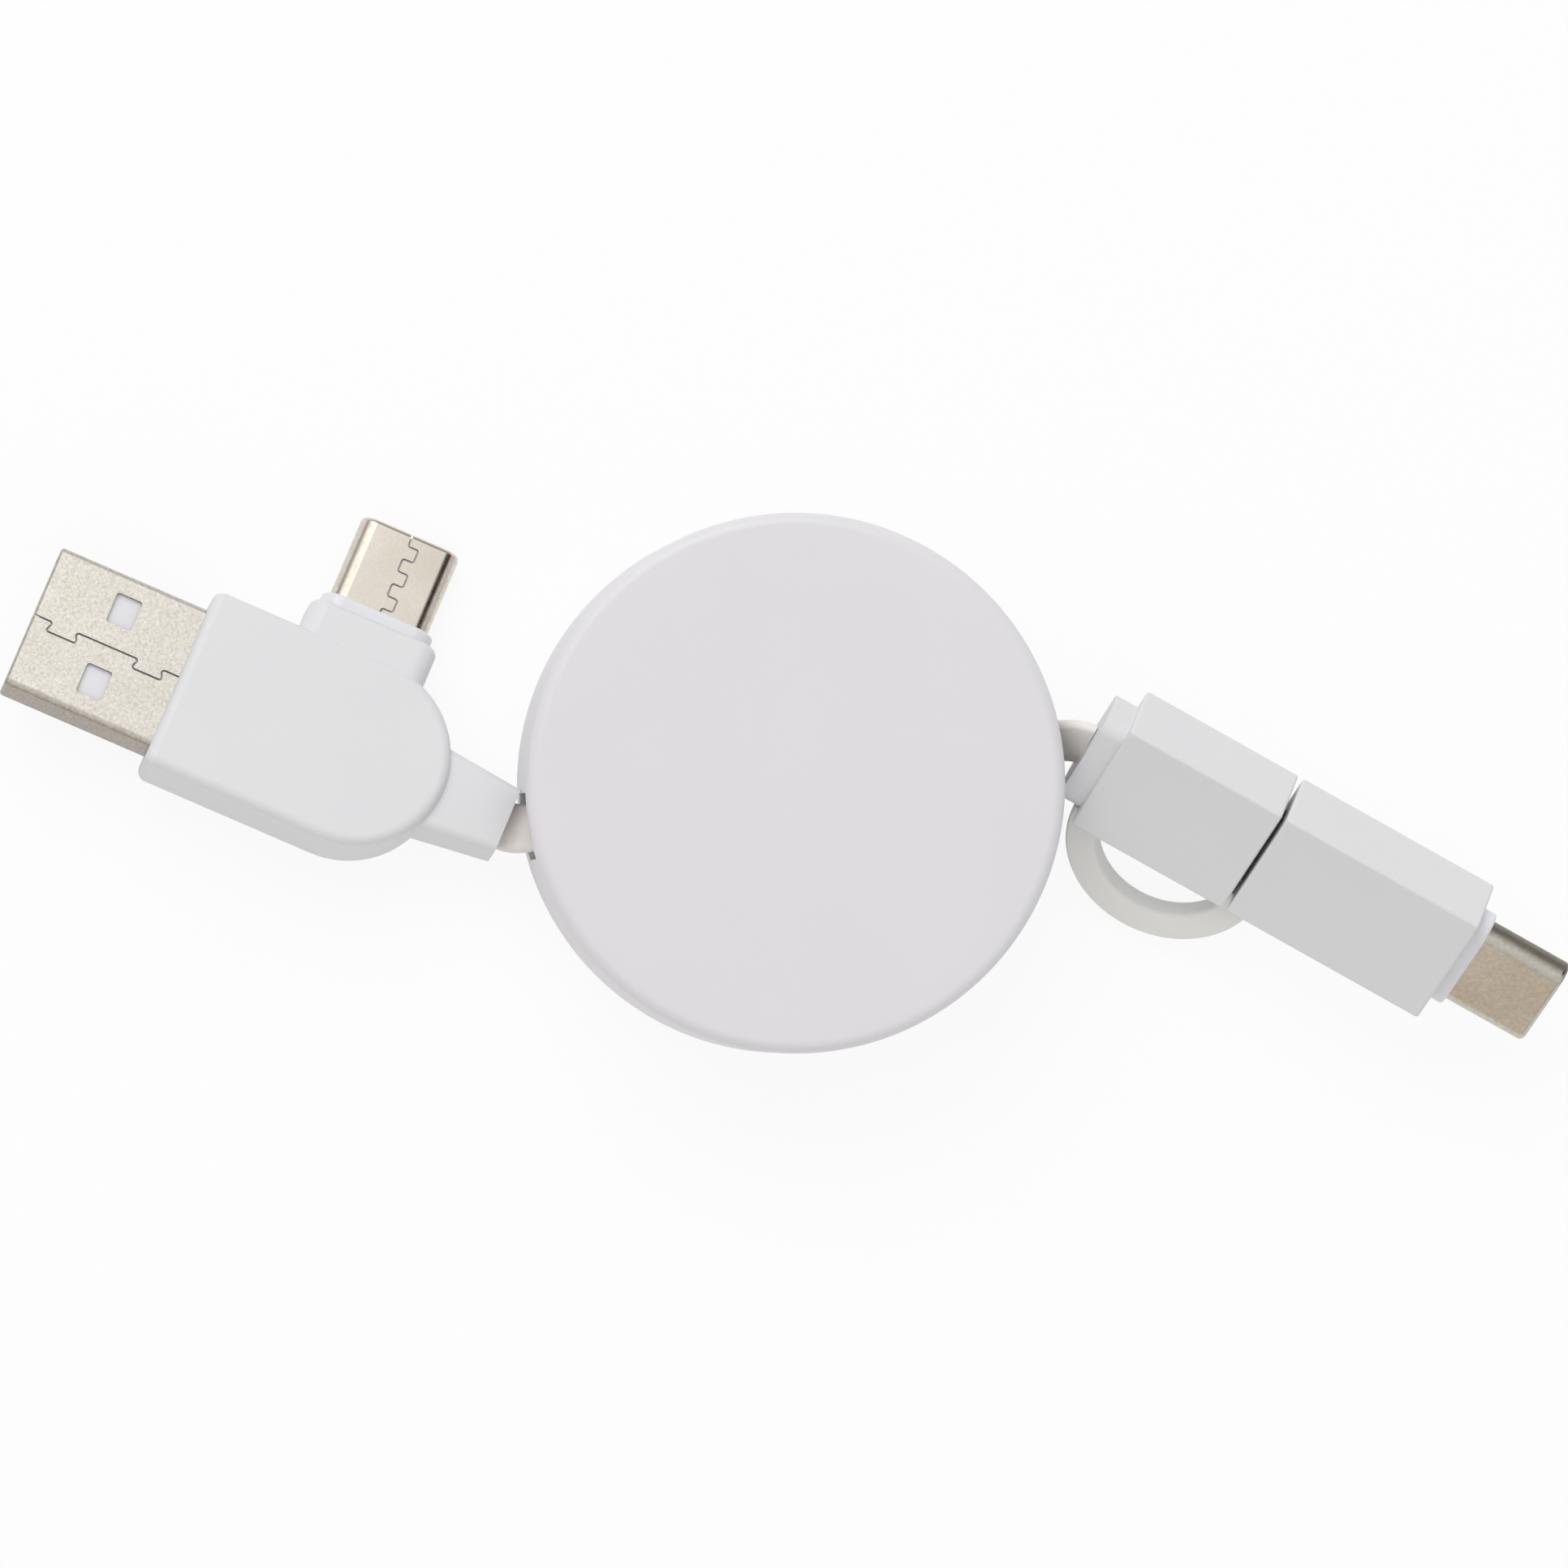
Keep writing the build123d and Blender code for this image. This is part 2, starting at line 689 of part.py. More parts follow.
with BuildPart() as right_plug_body:
    with BuildSketch(section_plane(right, collar_length)):
        Rectangle(right_width, right_thickness)
    extrude(amount=right_length)
    fillet(right_plug_body.edges(), right_round)
    with BuildSketch(section_plane(right, collar_length)):
        RectangleRounded(collar_width, collar_thickness, collar_corner)
    extrude(amount=collar_bury, mode=Mode.SUBTRACT)
    with BuildSketch(section_plane(right, right_front)):
        micro_outline(0)
    extrude(amount=-micro_root, mode=Mode.SUBTRACT)
    with BuildSketch(face_plane(right)):
        lug_sketch(lug_starts[0])
    extrude(amount=lug_thickness / 2, both=True, mode=Mode.SUBTRACT)
pieces["right_plug_body"] = right_plug_body

with BuildPart() as micro_b_shell:
    with BuildSketch(section_plane(right, micro_rear)):
        micro_outline(0)
    extrude(amount=micro_root + micro_length)
    with BuildSketch(section_plane(right, micro_rear)):
        micro_outline(-sheet)
    extrude(amount=micro_root + micro_length, mode=Mode.SUBTRACT)
pieces["micro_b_shell"] = micro_b_shell

# Insulator of the covered plug: a full foot in the body and a thin floor towards the mouth
micro_inner_floor = -micro_height / 2 + sheet
micro_floor_width = micro_width - 2 * sheet - 2 * micro_taper
with BuildPart() as micro_b_insulator:
    with BuildSketch(section_plane(right, micro_rear)):
        micro_outline(-sheet - insulator_clearance)
    extrude(amount=micro_root)
    with BuildSketch(section_plane(right, right_front)):
        with Locations((0, micro_inner_floor + micro_floor / 2)):
            Rectangle(micro_floor_width, micro_floor - 2 * insulator_clearance)
    extrude(amount=micro_length - sheet)
pieces["micro_b_insulator"] = micro_b_insulator

with BuildPart() as micro_b_contacts:
    micro_floor_top = micro_inner_floor + micro_floor - insulator_clearance
    micro_contact_level = micro_floor_top + micro_contact_thickness / 2
    with BuildSketch(section_plane(right, right_front)):
        with Locations((0, micro_contact_level)):
            with GridLocations(micro_contact_pitch, 1, micro_contacts, 1):
                Rectangle(micro_contact_width, micro_contact_thickness)
    extrude(amount=micro_contact_length)
pieces["micro_b_contacts"] = micro_b_contacts

# Adapter that slips over the small plug, with its socket behind and its own plug in front
socket_grow = socket_clearance + sheet

with BuildPart() as adapter_body:
    with BuildSketch(section_plane(right, adapter_rear)):
        Rectangle(right_width, right_thickness)
    extrude(amount=adapter_length)
    fillet(adapter_body.edges(), right_round)
    with BuildSketch(section_plane(right, adapter_rear)):
        micro_outline(socket_grow)
    extrude(amount=socket_depth + socket_wall, mode=Mode.SUBTRACT)
    with BuildSketch(section_plane(right, adapter_block_rear)):
        plinth_section()
    extrude(amount=adapter_length, mode=Mode.SUBTRACT)
    with BuildSketch(face_plane(right)):
        lug_sketch(lug_starts[1])
    extrude(amount=lug_thickness / 2, both=True, mode=Mode.SUBTRACT)
pieces["adapter_body"] = adapter_body

with BuildPart() as adapter_socket_shell:
    with BuildSketch(section_plane(right, adapter_rear)):
        micro_outline(socket_grow)
    extrude(amount=socket_depth)
    with BuildSketch(section_plane(right, adapter_rear)):
        micro_outline(socket_clearance)
    extrude(amount=socket_depth, mode=Mode.SUBTRACT)
pieces["adapter_socket_shell"] = adapter_socket_shell

with BuildPart() as adapter_socket_tongue:
    with BuildSketch(section_plane(right, socket_end)):
        micro_outline(socket_grow)
    extrude(amount=socket_wall)
    with BuildSketch(section_plane(right, socket_end)):
        with Locations((0, tongue_height)):
            Rectangle(tongue_width, tongue_thickness)
    extrude(amount=-tongue_length)
pieces["adapter_socket_tongue"] = adapter_socket_tongue

right_c_base = flipped(section_plane(right, adapter_plinth_top))

with BuildPart() as adapter_inner_mould:
    with BuildSketch(section_plane(right, adapter_block_rear)):
        plinth_section()
    extrude(amount=adapter_plinth_top - adapter_block_rear)
    adapter_plinth_end = adapter_inner_mould.faces().sort_by(Axis(right.origin, right.x_dir))[-1]
    fillet(adapter_plinth_end.edges(), plinth_edge_round)
    with BuildSketch(right_c_base):
        SlotOverall(usb_c_width, usb_c_height)
    extrude(amount=-usb_c_root, mode=Mode.SUBTRACT)
    with BuildSketch(section_plane(right, adapter_board_rear)):
        Rectangle(adapter_board_width, board_thickness)
    extrude(amount=adapter_board_length, mode=Mode.SUBTRACT)
pieces["adapter_inner_mould"] = adapter_inner_mould

with BuildPart() as adapter_board:
    with BuildSketch(section_plane(right, adapter_board_rear)):
        Rectangle(adapter_board_width, board_thickness)
    extrude(amount=adapter_board_length)
pieces["adapter_board"] = adapter_board

adapter_usb_c_shell, adapter_usb_c_insulator, adapter_usb_c_contacts = build_usb_c(right_c_base)
pieces["adapter_usb_c_shell"] = adapter_usb_c_shell
pieces["adapter_usb_c_insulator"] = adapter_usb_c_insulator
pieces["adapter_usb_c_contacts"] = adapter_usb_c_contacts

# Soft strap from the plug's rear to the adapter's rear, with a lug moulded into each
with BuildPart() as tether_strap:
    with BuildSketch(face_plane(right)):
        with Locations((strap_along, -strap_centre_offset)):
            Circle(strap_outer_radius)
            Circle(strap_inner_radius, mode=Mode.SUBTRACT)
        with Locations((strap_along, -right_width / 2 + strap_outer_radius)):
            Rectangle(3 * strap_outer_radius, 2 * strap_outer_radius, mode=Mode.SUBTRACT)
    extrude(amount=strap_thickness / 2, both=True)
    fillet(tether_strap.edges().filter_by(GeomType.CIRCLE), strap_round)
    with BuildSketch(face_plane(right)):
        for start in lug_starts:
            lug_sketch(start)
    extrude(amount=lug_thickness / 2, both=True)
pieces["tether_strap"] = tether_strap

os.makedirs("parts", exist_ok=True)
for name, piece in pieces.items():
    piece.part.label = name
    export_step(piece.part, f"parts/{name}.step")

wound_length = pi * (winding_radius**2 - hub_radius**2) / ribbon_thickness
print(f"ribbon wound on the spool: {wound_length:.0f} mm for both leads together")
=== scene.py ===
from math import asin, cos, pi, radians, sin, tan

import bmesh
import bpy
import numpy as np
from mathutils import Matrix, Vector


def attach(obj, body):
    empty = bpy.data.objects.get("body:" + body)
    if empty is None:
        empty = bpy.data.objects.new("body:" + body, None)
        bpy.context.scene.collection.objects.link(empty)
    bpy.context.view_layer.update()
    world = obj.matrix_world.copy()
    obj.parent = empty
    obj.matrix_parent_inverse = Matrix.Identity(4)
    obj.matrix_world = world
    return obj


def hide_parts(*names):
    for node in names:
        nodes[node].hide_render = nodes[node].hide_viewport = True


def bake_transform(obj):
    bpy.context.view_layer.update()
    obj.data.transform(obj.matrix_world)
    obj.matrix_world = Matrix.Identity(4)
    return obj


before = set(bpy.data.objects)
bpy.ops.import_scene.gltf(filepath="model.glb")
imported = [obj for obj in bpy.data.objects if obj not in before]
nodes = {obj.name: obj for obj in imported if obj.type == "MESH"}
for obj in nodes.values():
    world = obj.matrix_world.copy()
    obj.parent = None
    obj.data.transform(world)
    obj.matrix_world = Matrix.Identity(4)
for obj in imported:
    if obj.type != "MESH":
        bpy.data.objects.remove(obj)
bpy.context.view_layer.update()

MM = 0.001

# Sizes and places that the new surfaces are fitted to, in millimetres and degrees

# Reel
case_radius = 21.2
case_wall = 1.3
case_height = 13.95
case_edge_round = 1.0
seam_height = 11.4
seam_gap = 0.12
seam_round = 0.3
lip_wall = 0.6
lip_height = 1.0
lip_clearance = 0.06
exit_sill = 4.2
exit_width = 5.3
bearing_radius = 4.2
bearing_height = 0.5
arbor_radius = 2.6
arbor_slit = 0.5
arbor_tip_radius = 1.6
arbor_tip_height = 1.1
tip_clearance = 0.05
post_foot = 4.75
post_sunk = 0.1
ball_orbit = 13.25
pocket_length = 4.0
pocket_width = 1.9
pocket_depth = 0.85
pocket_margin = 0.35

# Reel sizes that follow
case_inner_radius = case_radius - case_wall
lid_inside = case_height - case_wall
lip_radius = case_inner_radius + lip_wall
lip_top = seam_height + lip_height
bearing_top = case_wall + bearing_height
arbor_top = lid_inside - arbor_tip_height

# Flat cable, and how it leaves the winding
ribbon_width = 4.0
ribbon_thickness = 1.0
ribbon_edge_round = 0.46
ribbon_mid = 6.75
winding_radius = 18.3
lead_start_gap = 1.0
lead_start_offset = 0.5
lead_start_heading = -25.0
lead_pull = 4.0
left_lead_tilt = 28.0
right_lead_tilt = 48.0

# Plugs: the end of each one's axis at the cable, its heading in plan and its roll about that axis
left_origin = (-22.7, 0.36, 5.369)
left_heading = 147.5
left_roll = 12.8
right_origin = (23.52, -0.67, 9.392)
right_heading = -38.3
right_roll = 41.1
right_width = 10.9

# Loop between the right plug and its adapter, centred along and across the plug's axis
strap_centre = (9.9, -4.85)
strap_radius = 7.0755
strap_width = 2.43
strap_thickness = 2.0
strap_round = 0.3
strap_bury = 0.35

# Divisions of the new surfaces
longest_side = 2.0
ribbon_longest_side = 0.5
edge_steps = 12
corner_steps = 6
lid_steps = 240
exit_steps = 8
wall_steps = 112
post_steps = 32
pocket_steps = 5
lead_steps = 60
loop_steps = 96


def plug_axes(heading, roll):
    """Unit vectors of a plug: outward along its axis, across its width, and out of its wide face.
    across = (-sin h, cos h, 0) cos r + (0, 0, 1) sin r, and the face's normal is square to both."""
    h = radians(heading)
    r = radians(roll)
    out = np.array([cos(h), sin(h), 0.0])
    level = np.array([-sin(h), cos(h), 0.0])
    up = np.array([0.0, 0.0, 1.0])
    return out, level * cos(r) + up * sin(r), up * cos(r) - level * sin(r)


# Meshes

def grid_faces(rows, columns, close_rows=False, close_columns=False):
    """Quads of a grid of rows by columns, as an index array; closing a direction joins its last line to
    its first."""
    i = np.arange(rows if close_rows else rows - 1)
    j = np.arange(columns if close_columns else columns - 1)
    i, j = np.meshgrid(i, j, indexing="ij")
    a = i * columns
    b = (i + 1) % rows * columns
    k = (j + 1) % columns
    return np.stack([a + j, b + j, b + k, a + k], axis=-1).reshape(-1, 4)


def tube_faces(rows, columns):
    """Quads round a tube of rows by columns, and one face on each of its ends."""
    faces = grid_faces(rows, columns, close_columns=True).tolist()
    faces.append(list(range(columns)))
    faces.append(list(range((rows - 1) * columns, rows * columns)))
    return faces


def put_mesh(name, points, faces, sharp_degrees=32.0):
    """Makes an object of points in millimetres, merges poles and seams, turns the faces outwards, and
    shades it smooth apart from edges sharper than the angle."""
    mesh = bpy.data.meshes.new(name)
    mesh.from_pydata((points * MM).tolist(), [], faces)
    work = bmesh.new()
    work.from_mesh(mesh)
    bmesh.ops.remove_doubles(work, verts=work.verts, dist=1e-7)
    bmesh.ops.dissolve_degenerate(work, edges=work.edges, dist=1e-8)
    bmesh.ops.recalc_face_normals(work, faces=work.faces)
    work.to_mesh(mesh)
    work.free()
    mesh.shade_smooth()
    mesh.set_sharp_from_angle(angle=radians(sharp_degrees))
    made = bpy.data.objects.new(name, mesh)
    bpy.context.scene.collection.objects.link(made)
    return made


def rounded_corners(corners, radii, steps):
    """Polygon with its corners rounded: each corner of radius q is replaced by an arc that touches both
    sides at q tan(turn / 2) from the corner."""
    corners = np.array(corners, float)
    befores = np.roll(corners, 1, axis=0)
    afters = np.roll(corners, -1, axis=0)
    points = []
    for corner, before, after, radius in zip(corners, befores, afters, radii):
        if not radius:
            points.append(corner[None])
            continue
        back = (before - corner) / np.linalg.norm(before - corner)
        ahead = (after - corner) / np.linalg.norm(after - corner)
        turn = pi - np.arccos(np.clip(back @ ahead, -1, 1))
        first = corner + back * radius * tan(turn / 2)
        inward = (back + ahead) / np.linalg.norm(back + ahead)
        centre = corner + inward * radius / cos(turn / 2)
        angle = np.linspace(0, turn, steps + 1)[:, None]
        points.append(centre + (first - centre) * np.cos(angle) - back * radius * np.sin(angle))
    return np.concatenate(points)


def rounded_bar(width, thickness, radius):
    """Section of a flat bar about its middle: a rectangle with rounded corners."""
    w = width / 2
    t = thickness / 2
    return rounded_corners([(-w, -t), (w, -t), (w, t), (-w, t)], [radius] * 4, corner_steps)


def filled_in(points, largest):
    """Same line of points with its long sides divided evenly, so that no side is longer than the largest."""
    starts = points[:-1]
    sides = points[1:] - starts
    counts = np.maximum(1, np.ceil(np.linalg.norm(sides, axis=1) / largest)).astype(int)
    parts = [start + side * np.arange(n)[:, None] / n for start, side, n in zip(starts, sides, counts)]
    return np.concatenate([*parts, points[-1:]])


def revolved(section, angle):
    """Points of a surface of revolution: point (i, j) is (r_j cos a_i, r_j sin a_i, z_j)."""
    radius, height = section.T
    angle = angle[:, None]
    points = [radius * np.cos(angle), radius * np.sin(angle), height + 0 * angle]
    return np.stack(points, axis=-1).reshape(-1, 3)


# Reel

def reel_lid():
    """Lid of the reel, a surface of revolution whose section runs once round the lid, from the middle of
    its top to the middle of its underside."""
    low = seam_height + seam_gap
    skirt = lip_radius + lip_clearance
    lip_pocket = lip_top + lip_clearance
    boss_low = arbor_top + tip_clearance
    boss_bore = arbor_tip_radius + tip_clearance
    corners = [
        (0, case_height), (case_radius, case_height), (case_radius, low), (skirt, low),
        (skirt, lip_pocket), (case_inner_radius, lip_pocket), (case_inner_radius, lid_inside),
        (arbor_radius, lid_inside), (arbor_radius, boss_low), (boss_bore, boss_low),
        (boss_bore, lid_inside), (0, lid_inside),
    ]
    radii = [0, case_edge_round, seam_round] + [0] * (len(corners) - 3)
    section = filled_in(rounded_corners(corners, radii, edge_steps), longest_side)
    points = revolved(section, np.linspace(0, 2 * pi, lid_steps, endpoint=False))
    return put_mesh("reel_lid", points, grid_faces(lid_steps, len(section), close_rows=True).tolist())


def half_post(side):
    """One half of the slit arbor on the tray's foot: point (i, j) is (r_i cos a_ij, side r_i sin a_ij, z_i),
    where a_i runs from asin(c / r_i) to pi - asin(c / r_i), c is half the slit, and (r, z) steps in to the
    thinner tip; the chord and both ends are closed."""
    radius = np.array([[arbor_radius], [arbor_radius], [arbor_tip_radius], [arbor_tip_radius]])
    height = np.array([[post_foot - post_sunk], [arbor_top], [arbor_top], [lid_inside - tip_clearance]])
    start = np.arcsin(arbor_slit / 2 / radius)
    angle = start + (pi - 2 * start) * np.linspace(0, 1, post_steps + 1)
    points = np.stack([radius * np.cos(angle), side * radius * np.sin(angle), height + 0 * angle], axis=-1)
    return points.reshape(-1, 3), tube_faces(*angle.shape)


def ball_pocket(points, loop):
    """Pocket in the floor inside a loop of its points: each point, at d = (x, y) from the pocket's middle,
    gets one at t d on the pocket's outline, two half circles of radius w at y = +-a with straight sides. On
    the sides t = w / |x|, and on the half circles (t x)^2 + (t |y| - a)^2 = w^2. Returns the outline at the
    floor's height and at the pocket's depth, and the faces that join them to the loop."""
    w = pocket_width / 2
    a = pocket_length / 2 - w
    middle = np.array([0.0, ball_orbit])
    from_middle = points[loop, :2] - middle
    x, y = np.abs(from_middle).T
    square = x**2 + y**2
    straight = w / np.maximum(x, 1e-9)
    curved = (y * a + np.sqrt(np.maximum(0, (y * a)**2 - square * (a**2 - w**2)))) / square
    t = np.where(straight * y <= a, straight, curved)
    outline = middle + from_middle * t[:, None]
    count = len(loop)
    heights = (case_wall, case_wall - pocket_depth)
    rings = [np.column_stack([outline, np.full(count, height)]) for height in heights]
    edge = len(points) + np.arange(count)
    deep = edge + count
    faces = []
    for upper, lower in ((loop, edge), (edge, deep)):
        quads = np.stack([upper, np.roll(upper, -1), np.roll(lower, -1), lower], axis=-1)
        faces += quads.tolist()
    faces.append(deep.tolist())
    return np.concatenate(rings), faces


def column_at(section, radius, height):
    """Number of the section's point that lies nearest to a radius and a height."""
    return int(np.argmin(np.hypot(section[:, 0] - radius, section[:, 1] - height)))


def reel_tray():
    """Tray of the reel, a surface of revolution whose section runs from the middle of its base round the
    wall to the arbor's foot. Over the two exits the part of the section above the sill is left out, and
    closed by a sill and two side walls. The floor has a pocket for the ball, and the two halves of the
    arbor stand on its foot."""
    outside = rounded_corners(
        [(0, 0), (case_radius, 0), (case_radius, exit_sill)], [0, case_edge_round, 0], edge_steps
    )
    wall = rounded_corners(
        [
            (case_radius, exit_sill), (case_radius, seam_height), (lip_radius, seam_height),
            (lip_radius, lip_top), (case_inner_radius, lip_top), (case_inner_radius, exit_sill),
        ],
        [0, seam_round, 0, 0, 0, 0],
        corner_steps,
    )
    pocket_outer = ball_orbit + pocket_length / 2 + pocket_margin
    pocket_inner = ball_orbit - pocket_length / 2 - pocket_margin
    inside = np.array([
        (case_inner_radius, exit_sill), (case_inner_radius, case_wall), (pocket_outer, case_wall),
        (pocket_inner, case_wall), (bearing_radius, case_wall), (bearing_radius, bearing_top),
        (arbor_radius, bearing_top), (arbor_radius, post_foot), (0, post_foot),
    ])
    section = np.concatenate([
        filled_in(outside, longest_side), wall[1:-1], filled_in(inside, longest_side)
    ])
    sill_out = column_at(section, case_radius, exit_sill)
    sill_in = column_at(section, case_inner_radius, exit_sill)
    outer = column_at(section, pocket_outer, case_wall)
    inner = column_at(section, pocket_inner, case_wall)

    half_exit = asin(exit_width / 2 / case_radius)
    half_turn = np.concatenate([
        np.linspace(-half_exit, half_exit, exit_steps, endpoint=False),
        np.linspace(half_exit, pi - half_exit, wall_steps, endpoint=False),
    ])
    points = revolved(section, np.concatenate([half_turn, half_turn + pi]))

    rows = 2 * len(half_turn)
    columns = len(section)
    quads = grid_faces(rows, columns, close_rows=True)
    row = quads[:, 0] // columns
    column = quads[:, 0] % columns
    first_row = exit_steps + wall_steps // 2 - pocket_steps
    last_row = exit_steps + wall_steps // 2 + pocket_steps
    in_exit = (row % len(half_turn) < exit_steps) & (column >= sill_out) & (column < sill_in)
    over_pocket = (row >= first_row) & (row < last_row) & (column >= outer) & (column < inner)
    faces = quads[~in_exit & ~over_pocket].tolist()

    for first in (0, len(half_turn)):
        here = np.arange(first, first + exit_steps) * columns
        following = here + columns
        sill = np.stack([here + sill_out, following + sill_out, following + sill_in, here + sill_in], axis=-1)
        faces += sill.tolist()
        for side in (first, first + exit_steps):
            faces.append(list(range(side * columns + sill_out, side * columns + sill_in + 1)))

    along = np.arange(first_row, last_row)
    inward = np.arange(outer, inner)
    loop = np.concatenate([
        along * columns + outer, last_row * columns + inward,
        (along[::-1] + 1) * columns + inner, first_row * columns + inward[::-1] + 1,
    ])
    pocket_points, pocket_faces = ball_pocket(points, loop)
    points = np.concatenate([points, pocket_points])
    faces += pocket_faces
    for side in (-1, 1):
        post_points, post_faces = half_post(side)
        faces += [[len(points) + number for number in face] for face in post_faces]
        points = np.concatenate([points, post_points])
    return put_mesh("reel_tray", points, faces)


# Soft pieces

def carried_section(name, path, across, through, section):
    """Profile along a path: point (i, j) is path_i + across_i u_j + through_i v_j, where (u, v) runs round
    the closed section; each end is closed by one face."""
    points = (
        path[:, None] + across[:, None] * section[None, :, :1] + through[:, None] * section[None, :, 1:]
    )
    return put_mesh(name, points.reshape(-1, 3), tube_faces(*points.shape[:2]), sharp_degrees=50.0)


def ribbon_section():
    """Section of the flat cable: a rectangle with well rounded edges, its long sides divided."""
    outline = rounded_bar(ribbon_width, ribbon_thickness, ribbon_edge_round)
    return filled_in(np.concatenate([outline, outline[:1]]), ribbon_longest_side)[:-1]


def ribbon_lead(name, way, start_tilt, origin, heading, roll):
    """Flat cable from the winding, which it leaves along X one way (1) or the other (-1), through the exit
    into a plug: a section carried along a cubic Hermite curve p(s) = (2s^3 - 3s^2 + 1) a
    + (s^3 - 2s^2 + s) da + (3s^2 - 2s^3) b + (s^3 - s^2) db. The section stands square to the curve and
    turns about it, from the tilt at the start to the plug's roll, as s^2 (3 - 2s)."""
    leave = radians(lead_start_heading)
    arrive = radians(heading)
    a = np.array([way * (winding_radius + lead_start_gap), way * lead_start_offset, ribbon_mid])
    b = np.array(origin)
    da = np.array([cos(leave), sin(leave), 0.0]) * way * lead_pull
    db = np.array([cos(arrive), sin(arrive), 0.0]) * lead_pull
    s = np.linspace(0, 1, lead_steps + 1)[:, None]
    path = (
        (2 * s**3 - 3 * s**2 + 1) * a + (s**3 - 2 * s**2 + s) * da
        + (3 * s**2 - 2 * s**3) * b + (s**3 - s**2) * db
    )
    along = np.gradient(path, axis=0)
    along /= np.linalg.norm(along, axis=1, keepdims=True)
    level = np.cross([0.0, 0.0, 1.0], along)
    level /= np.linalg.norm(level, axis=1, keepdims=True)
    upright = np.cross(along, level)
    tilt = np.radians(start_tilt + (roll - start_tilt) * s**2 * (3 - 2 * s))
    across = level * np.cos(tilt) + upright * np.sin(tilt)
    through = upright * np.cos(tilt) - level * np.sin(tilt)
    return carried_section(name, path, across, through, ribbon_section())


def tether_loop():
    """Soft loop from the plug to its adapter: a rounded section carried along an arc of a circle in the
    plug's own plane, point (i, j) = centre + (R + u_j)(cos a_i, sin a_i) across the wide face and v_j
    through the thickness. Both ends run a little way into the bodies."""
    out, wide, face = plug_axes(right_heading, right_roll)
    reach = asin((strap_bury - right_width / 2 - strap_centre[1]) / strap_radius)
    angle = np.linspace(-pi - reach, reach, loop_steps + 1)[:, None]
    radial = np.cos(angle) * out + np.sin(angle) * wide
    path = np.array(right_origin) + strap_centre[0] * out + strap_centre[1] * wide + strap_radius * radial
    section = rounded_bar(strap_width, strap_thickness, strap_round)
    return carried_section("tether_loop", path, radial, np.repeat(face[None], len(path), 0), section)


# Materials

# Most of a noise's values lie between these two
noise_low = 0.3
noise_high = 0.7


def linear(code):
    """Colour of an sRGB hex code as linear red, green, blue and alpha: below 0.04045 divide by 12.92,
    above it raise (c + 0.055) / 1.055 to 2.4."""
    c = np.array([int(code[k:k + 2], 16) / 255 for k in (1, 3, 5)])
    c = np.where(c <= 0.04045, c / 12.92, ((c + 0.055) / 1.055) ** 2.4)
    return (*map(float, c), 1.0)


def add(tree, kind, inputs=(), **settings):
    """Adds one node with its settings; each input is a value, or a socket to link from."""
    made = tree.nodes.new(kind)
    for key, value in settings.items():
        setattr(made, key, value)
    for key, value in dict(inputs).items():
        if isinstance(value, bpy.types.NodeSocket):
            tree.links.new(value, made.inputs[key])
        else:
            made.inputs[key].default_value = value
    return made


def new_material(name):
    """Empty node material and its tree."""
    made = bpy.data.materials.new(name)
    made.use_nodes = True
    made.node_tree.nodes.clear()
    return made, made.node_tree


def per_metre(millimetres):
    """Noise scale whose cells are that many millimetres wide on Object coordinates in metres."""
    return 1.0 / (millimetres * MM)


def moulded_plastic(name, colour, shade, roughness, grain, depth, uneven=0.05):
    """Plastic from a spark-eroded mould: an even colour that drifts a little where the melt flowed, and a
    fine even grain that breaks up the gloss. Grain width and depth are in millimetres."""
    flow_width = 9.0
    made, tree = new_material(name)
    place = add(tree, "ShaderNodeTexCoord").outputs["Object"]
    flow = add(tree, "ShaderNodeTexNoise", {"Vector": place, "Scale": per_metre(flow_width), "Detail": 2.0})
    tint = add(tree, "ShaderNodeMix", {
        "Factor": flow.outputs["Fac"], "A": linear(colour), "B": linear(shade)}, data_type="RGBA")
    pits = add(tree, "ShaderNodeTexNoise", {
        "Vector": place, "Scale": per_metre(grain), "Detail": 3.0, "Roughness": 0.6})
    gloss = add(tree, "ShaderNodeMapRange", {
        "Value": pits.outputs["Fac"], "From Min": noise_low, "From Max": noise_high,
        "To Min": roughness - uneven, "To Max": roughness + uneven})
    bump = add(tree, "ShaderNodeBump", {
        "Height": pits.outputs["Fac"], "Strength": 0.35, "Distance": depth * MM})
    shader = add(tree, "ShaderNodeBsdfPrincipled", {
        "Base Color": tint.outputs["Result"], "Roughness": gloss.outputs["Result"],
        "Normal": bump.outputs["Normal"], "IOR": 1.53})
    add(tree, "ShaderNodeOutputMaterial", {"Surface": shader.outputs["BSDF"]})
    return made


